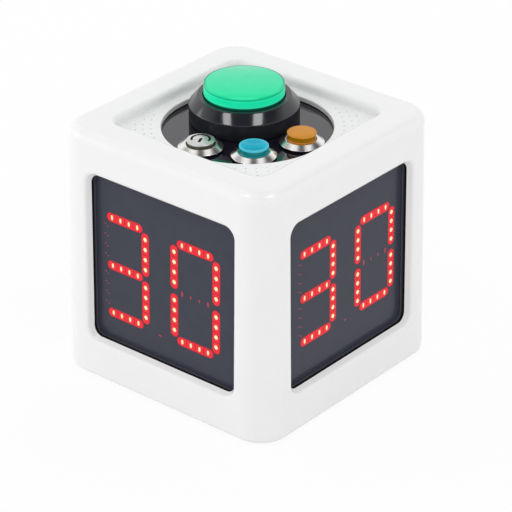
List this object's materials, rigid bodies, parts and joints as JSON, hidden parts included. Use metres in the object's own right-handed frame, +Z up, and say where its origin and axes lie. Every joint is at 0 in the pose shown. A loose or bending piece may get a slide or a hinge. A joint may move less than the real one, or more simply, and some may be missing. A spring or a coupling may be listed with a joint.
{
  "type": "digital cube timer",
  "caption": "White cube timer with a recessed LED digit display on every side, a large sprung push button and small metal push buttons in a top tray.",
  "frame": {"origin": "middle of the footprint, on the surface that the feet stand on", "axes": "+Z up, the front display looks along -Y and the right display along +X"},
  "size_m": [0.1518, 0.1518, 0.1636],
  "materials": {
    "white_shell": "glossy moulded white",
    "white_cover": "satin moulded white",
    "rubber": "matte black",
    "zinc": "zinc plated",
    "gasket": "matte black foam",
    "display_grey": "satin dark grey",
    "segment_red": "lit red",
    "circuit_board": "green solder mask",
    "panel_black": "polished black",
    "bezel_black": "smooth black",
    "cap_green": "translucent green",
    "carrier_white": "satin white",
    "spring_steel": "bright wire",
    "nylon_black": "satin black",
    "button_steel": "polished stainless steel",
    "cap_blue": "smooth blue",
    "cap_orange": "smooth orange",
    "cell_wrap": "blue sleeve",
    "speaker_grey": "dark grey"
  },
  "bodies": {
    "timer": {"housing": "white_shell", "base_cover": "white_cover", "back_right_foot": "rubber", "back_left_foot": "rubber", "front_left_foot": "rubber", "front_right_foot": "rubber", "back_right_screw": "zinc", "back_left_screw": "zinc", "front_left_screw": "zinc", "front_right_screw": "zinc", "front_gasket": "gasket", "right_gasket": "gasket", "back_gasket": "gasket", "left_gasket": "gasket", "front_display_face": "display_grey", "right_display_face": "display_grey", "back_display_face": "display_grey", "left_display_face": "display_grey", "front_segment_lens": "segment_red", "right_segment_lens": "segment_red", "back_segment_lens": "segment_red", "left_segment_lens": "segment_red", "front_led_board": "circuit_board", "right_led_board": "circuit_board", "back_led_board": "circuit_board", "left_led_board": "circuit_board", "top_panel": "panel_black", "main_bezel": "bezel_black", "main_spring": "spring_steel", "main_nut": "nylon_black", "main_switch": "nylon_black", "power_body": "button_steel", "power_ring": "rubber", "power_spring": "spring_steel", "power_nut": "nylon_black", "power_contacts": "nylon_black", "blue_body": "button_steel", "blue_ring": "rubber", "blue_spring": "spring_steel", "blue_nut": "nylon_black", "blue_contacts": "nylon_black", "orange_body": "button_steel", "orange_ring": "rubber", "orange_spring": "spring_steel", "orange_nut": "nylon_black", "orange_contacts": "nylon_black", "rear_cell": "cell_wrap", "fore_cell": "cell_wrap", "battery_holder": "nylon_black", "control_board": "circuit_board", "speaker": "speaker_grey", "charge_socket": "zinc"},
    "main_plunger": {"main_cap": "cap_green", "main_carrier": "carrier_white"},
    "power_plunger": {"power_cap": "button_steel"},
    "blue_plunger": {"blue_cap": "cap_blue"},
    "orange_plunger": {"orange_cap": "cap_orange"}
  },
  "joints": [
    {"name": "main_press", "type": "slide", "parent": "timer", "child": "main_plunger", "axis": [0, 0, -1], "range_m": [0, 0.0035], "stiffness_N_per_m": 500, "springref_m": -0.003, "deforming": ["main_spring"]},
    {"name": "power_press", "type": "slide", "parent": "timer", "child": "power_plunger", "axis": [0, 0, -1], "range_m": [0, 0.0015], "stiffness_N_per_m": 1200, "springref_m": -0.001, "deforming": ["power_spring"]},
    {"name": "blue_press", "type": "slide", "parent": "timer", "child": "blue_plunger", "axis": [0, 0, -1], "range_m": [0, 0.0015], "stiffness_N_per_m": 1200, "springref_m": -0.001, "deforming": ["blue_spring"]},
    {"name": "orange_press", "type": "slide", "parent": "timer", "child": "orange_plunger", "axis": [0, 0, -1], "range_m": [0, 0.0015], "stiffness_N_per_m": 1200, "springref_m": -0.001, "deforming": ["orange_spring"]}
  ]
}
